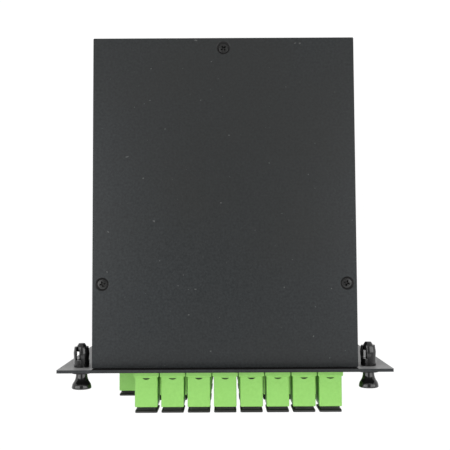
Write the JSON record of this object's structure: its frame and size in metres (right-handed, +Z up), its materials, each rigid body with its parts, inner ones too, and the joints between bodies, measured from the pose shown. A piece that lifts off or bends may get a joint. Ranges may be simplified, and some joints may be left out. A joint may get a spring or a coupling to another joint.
{
  "type": "plc fibre splitter",
  "caption": "Plug-in optical splitter module: a folded metal box whose front plate carries rows of capped green fibre adapters and push-pull latches.",
  "frame": {"origin": "centre of the four latches, on the back face of the front plate", "axes": "+Y from the front plate back into the box, along the latches; +Z up, from the tray's floor to the cover; +X right, seen from the front"},
  "size_m": [0.1308, 0.1495, 0.112],
  "materials": {
    "black_paint": "fine-textured matt black powder coat",
    "screw_steel": "black oxide",
    "latch_plastic": "glossy black nylon",
    "adapter_green": "satin green moulding",
    "cap_plastic": "soft matt black",
    "spring_steel": "stamped stainless spring",
    "natural_plastic": "natural white moulding",
    "ceramic": "polished white ceramic",
    "boot_rubber": "matt green",
    "case_steel": "plain steel",
    "chip_glass": "ground glass",
    "black_plastic": "moulded black",
    "fibre_jacket": "white buffer jacket",
    "ribbon_tube": "clear-white loose tube"
  },
  "bodies": {
    "module": {"front_plate": "black_paint", "tray": "black_paint", "cover": "black_paint", "cover_screws": "screw_steel", "latch_grommets": "latch_plastic", "adapters_row_1": "adapter_green", "adapters_row_2": "adapter_green", "adapters_row_3": "adapter_green", "adapters_row_4": "adapter_green", "adapter_input": "adapter_green", "adapter_clips": "spring_steel", "sleeve_holders": "natural_plastic", "alignment_sleeves": "ceramic", "inner_connectors": "adapter_green", "connector_ferrules": "ceramic", "connector_boots": "boot_rubber", "splitter_case": "case_steel", "splitter_chip": "chip_glass", "splitter_saddle": "black_plastic", "loom_bracket": "case_steel", "furcation_blocks": "black_plastic", "output_fibres": "fibre_jacket", "trunk_fibres": "ribbon_tube"},
    "latch_1": {"latch_plunger_1": "latch_plastic"},
    "latch_2": {"latch_plunger_2": "latch_plastic"},
    "latch_3": {"latch_plunger_3": "latch_plastic"},
    "latch_4": {"latch_plunger_4": "latch_plastic"},
    "cap_1_1": {"dust_cap_1_1": "cap_plastic"},
    "cap_1_2": {"dust_cap_1_2": "cap_plastic"},
    "cap_1_3": {"dust_cap_1_3": "cap_plastic"},
    "cap_1_4": {"dust_cap_1_4": "cap_plastic"},
    "cap_1_5": {"dust_cap_1_5": "cap_plastic"},
    "cap_1_6": {"dust_cap_1_6": "cap_plastic"},
    "cap_1_7": {"dust_cap_1_7": "cap_plastic"},
    "cap_1_8": {"dust_cap_1_8": "cap_plastic"},
    "cap_2_1": {"dust_cap_2_1": "cap_plastic"},
    "cap_2_2": {"dust_cap_2_2": "cap_plastic"},
    "cap_2_3": {"dust_cap_2_3": "cap_plastic"},
    "cap_2_4": {"dust_cap_2_4": "cap_plastic"},
    "cap_2_5": {"dust_cap_2_5": "cap_plastic"},
    "cap_2_6": {"dust_cap_2_6": "cap_plastic"},
    "cap_2_7": {"dust_cap_2_7": "cap_plastic"},
    "cap_2_8": {"dust_cap_2_8": "cap_plastic"},
    "cap_3_1": {"dust_cap_3_1": "cap_plastic"},
    "cap_3_2": {"dust_cap_3_2": "cap_plastic"},
    "cap_3_3": {"dust_cap_3_3": "cap_plastic"},
    "cap_3_4": {"dust_cap_3_4": "cap_plastic"},
    "cap_3_5": {"dust_cap_3_5": "cap_plastic"},
    "cap_3_6": {"dust_cap_3_6": "cap_plastic"},
    "cap_3_7": {"dust_cap_3_7": "cap_plastic"},
    "cap_3_8": {"dust_cap_3_8": "cap_plastic"},
    "cap_4_1": {"dust_cap_4_1": "cap_plastic"},
    "cap_4_2": {"dust_cap_4_2": "cap_plastic"},
    "cap_4_3": {"dust_cap_4_3": "cap_plastic"},
    "cap_4_4": {"dust_cap_4_4": "cap_plastic"},
    "cap_4_5": {"dust_cap_4_5": "cap_plastic"},
    "cap_4_6": {"dust_cap_4_6": "cap_plastic"},
    "cap_4_7": {"dust_cap_4_7": "cap_plastic"},
    "cap_4_8": {"dust_cap_4_8": "cap_plastic"},
    "cap_input": {"dust_cap_input": "cap_plastic"}
  },
  "joints": [
    {"name": "latch_1_pull", "type": "slide", "parent": "module", "child": "latch_1", "axis": [0, -1, 0], "range_m": [0, 0.005]},
    {"name": "latch_2_pull", "type": "slide", "parent": "module", "child": "latch_2", "axis": [0, -1, 0], "range_m": [0, 0.005]},
    {"name": "latch_3_pull", "type": "slide", "parent": "module", "child": "latch_3", "axis": [0, -1, 0], "range_m": [0, 0.005]},
    {"name": "latch_4_pull", "type": "slide", "parent": "module", "child": "latch_4", "axis": [0, -1, 0], "range_m": [0, 0.005]},
    {"name": "cap_1_1_pull", "type": "slide", "parent": "module", "child": "cap_1_1", "axis": [0, -1, 0], "range_m": [0, 0.01]},
    {"name": "cap_1_2_pull", "type": "slide", "parent": "module", "child": "cap_1_2", "axis": [0, -1, 0], "range_m": [0, 0.01]},
    {"name": "cap_1_3_pull", "type": "slide", "parent": "module", "child": "cap_1_3", "axis": [0, -1, 0], "range_m": [0, 0.01]},
    {"name": "cap_1_4_pull", "type": "slide", "parent": "module", "child": "cap_1_4", "axis": [0, -1, 0], "range_m": [0, 0.01]},
    {"name": "cap_1_5_pull", "type": "slide", "parent": "module", "child": "cap_1_5", "axis": [0, -1, 0], "range_m": [0, 0.01]},
    {"name": "cap_1_6_pull", "type": "slide", "parent": "module", "child": "cap_1_6", "axis": [0, -1, 0], "range_m": [0, 0.01]},
    {"name": "cap_1_7_pull", "type": "slide", "parent": "module", "child": "cap_1_7", "axis": [0, -1, 0], "range_m": [0, 0.01]},
    {"name": "cap_1_8_pull", "type": "slide", "parent": "module", "child": "cap_1_8", "axis": [0, -1, 0], "range_m": [0, 0.01]},
    {"name": "cap_2_1_pull", "type": "slide", "parent": "module", "child": "cap_2_1", "axis": [0, -1, 0], "range_m": [0, 0.01]},
    {"name": "cap_2_2_pull", "type": "slide", "parent": "module", "child": "cap_2_2", "axis": [0, -1, 0], "range_m": [0, 0.01]},
    {"name": "cap_2_3_pull", "type": "slide", "parent": "module", "child": "cap_2_3", "axis": [0, -1, 0], "range_m": [0, 0.01]},
    {"name": "cap_2_4_pull", "type": "slide", "parent": "module", "child": "cap_2_4", "axis": [0, -1, 0], "range_m": [0, 0.01]},
    {"name": "cap_2_5_pull", "type": "slide", "parent": "module", "child": "cap_2_5", "axis": [0, -1, 0], "range_m": [0, 0.01]},
    {"name": "cap_2_6_pull", "type": "slide", "parent": "module", "child": "cap_2_6", "axis": [0, -1, 0], "range_m": [0, 0.01]},
    {"name": "cap_2_7_pull", "type": "slide", "parent": "module", "child": "cap_2_7", "axis": [0, -1, 0], "range_m": [0, 0.01]},
    {"name": "cap_2_8_pull", "type": "slide", "parent": "module", "child": "cap_2_8", "axis": [0, -1, 0], "range_m": [0, 0.01]},
    {"name": "cap_3_1_pull", "type": "slide", "parent": "module", "child": "cap_3_1", "axis": [0, -1, 0], "range_m": [0, 0.01]},
    {"name": "cap_3_2_pull", "type": "slide", "parent": "module", "child": "cap_3_2", "axis": [0, -1, 0], "range_m": [0, 0.01]},
    {"name": "cap_3_3_pull", "type": "slide", "parent": "module", "child": "cap_3_3", "axis": [0, -1, 0], "range_m": [0, 0.01]},
    {"name": "cap_3_4_pull", "type": "slide", "parent": "module", "child": "cap_3_4", "axis": [0, -1, 0], "range_m": [0, 0.01]},
    {"name": "cap_3_5_pull", "type": "slide", "parent": "module", "child": "cap_3_5", "axis": [0, -1, 0], "range_m": [0, 0.01]},
    {"name": "cap_3_6_pull", "type": "slide", "parent": "module", "child": "cap_3_6", "axis": [0, -1, 0], "range_m": [0, 0.01]},
    {"name": "cap_3_7_pull", "type": "slide", "parent": "module", "child": "cap_3_7", "axis": [0, -1, 0], "range_m": [0, 0.01]},
    {"name": "cap_3_8_pull", "type": "slide", "parent": "module", "child": "cap_3_8", "axis": [0, -1, 0], "range_m": [0, 0.01]},
    {"name": "cap_4_1_pull", "type": "slide", "parent": "module", "child": "cap_4_1", "axis": [0, -1, 0], "range_m": [0, 0.01]},
    {"name": "cap_4_2_pull", "type": "slide", "parent": "module", "child": "cap_4_2", "axis": [0, -1, 0], "range_m": [0, 0.01]},
    {"name": "cap_4_3_pull", "type": "slide", "parent": "module", "child": "cap_4_3", "axis": [0, -1, 0], "range_m": [0, 0.01]},
    {"name": "cap_4_4_pull", "type": "slide", "parent": "module", "child": "cap_4_4", "axis": [0, -1, 0], "range_m": [0, 0.01]},
    {"name": "cap_4_5_pull", "type": "slide", "parent": "module", "child": "cap_4_5", "axis": [0, -1, 0], "range_m": [0, 0.01]},
    {"name": "cap_4_6_pull", "type": "slide", "parent": "module", "child": "cap_4_6", "axis": [0, -1, 0], "range_m": [0, 0.01]},
    {"name": "cap_4_7_pull", "type": "slide", "parent": "module", "child": "cap_4_7", "axis": [0, -1, 0], "range_m": [0, 0.01]},
    {"name": "cap_4_8_pull", "type": "slide", "parent": "module", "child": "cap_4_8", "axis": [0, -1, 0], "range_m": [0, 0.01]},
    {"name": "cap_input_pull", "type": "slide", "parent": "module", "child": "cap_input", "axis": [0, -1, 0], "range_m": [0, 0.01]}
  ]
}
